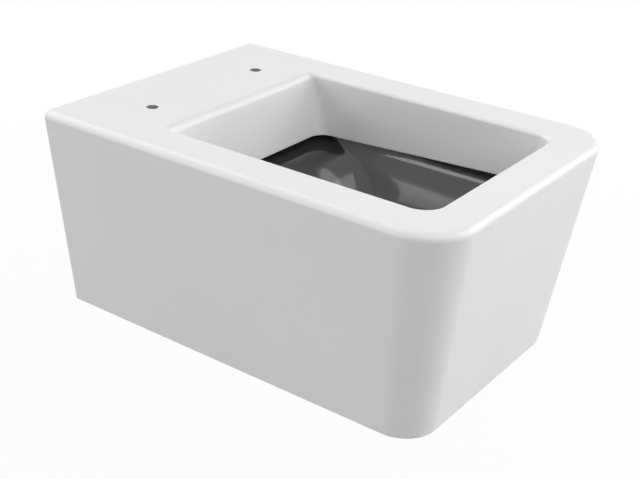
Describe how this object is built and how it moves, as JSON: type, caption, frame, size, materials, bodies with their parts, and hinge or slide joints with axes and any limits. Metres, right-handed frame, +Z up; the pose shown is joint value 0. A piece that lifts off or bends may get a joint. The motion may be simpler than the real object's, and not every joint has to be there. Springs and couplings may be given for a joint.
{
  "type": "wall hung toilet pan",
  "caption": "Wall hung ceramic toilet pan with tapered flanks, a square rim opening, a hidden trap and screw-and-wedge wall fixings tightened through the hinge holes.",
  "frame": {"origin": "midway between the two wall studs, on the wall plane", "axes": "+Z up, +Y into the wall, the pan's front towards -Y, +X to the right for someone facing the pan"},
  "size_m": [0.3576, 0.5038, 0.246],
  "materials": {
    "glaze": "gloss white glaze",
    "bowl_glaze": "gloss grey glaze",
    "bracket_steel": "matt",
    "plated_steel": "zinc plated",
    "cast_zinc": "as cast",
    "plastic": "matt",
    "rubber": "matt"
  },
  "bodies": {
    "pan": {"pan_flanks": "glaze", "pan_front": "glaze", "pan_floor": "glaze", "fixing_webs": "glaze", "fixing_lugs": "glaze", "rim_deck": "glaze", "rim_skirt": "glaze", "bowl": "bowl_glaze", "trapway": "glaze", "outlet_horn": "glaze", "flush_duct": "glaze", "inlet_seal": "rubber", "holder_left": "bracket_steel", "holder_right": "bracket_steel", "wall_discs": "plastic", "stud_washers": "plated_steel", "stud_nuts": "plated_steel", "rest_pad_left": "plastic", "rest_pad_right": "plastic"},
    "draw_screw_left": {"draw_screw_left": "plated_steel", "screw_clip_left": "plated_steel"},
    "draw_screw_right": {"draw_screw_right": "plated_steel", "screw_clip_right": "plated_steel"},
    "wedge_left": {"wedge_left": "cast_zinc", "wedge_pad_left": "rubber"},
    "wedge_right": {"wedge_right": "cast_zinc", "wedge_pad_right": "rubber"}
  },
  "joints": [
    {"name": "wedge_left_slide", "type": "slide", "parent": "pan", "child": "wedge_left", "axis": [0, 0, 1], "range_m": [-0.01, 0]},
    {"name": "draw_screw_left_turn", "type": "hinge", "parent": "pan", "child": "draw_screw_left", "pos_m": [-0.09, -0.075, 0.054], "axis": [0, 0, 1], "range_deg": [0, 2401]},
    {"name": "wedge_right_slide", "type": "slide", "parent": "pan", "child": "wedge_right", "axis": [0, 0, 1], "range_m": [-0.01, 0]},
    {"name": "draw_screw_right_turn", "type": "hinge", "parent": "pan", "child": "draw_screw_right", "pos_m": [0.09, -0.075, 0.054], "axis": [0, 0, 1], "range_deg": [0, 2401]}
  ],
  "couplings": [
    {"joint": "draw_screw_left_turn", "follows": "wedge_left_slide", "rad_per_m": -4188.8},
    {"joint": "draw_screw_right_turn", "follows": "wedge_right_slide", "rad_per_m": -4188.8}
  ]
}
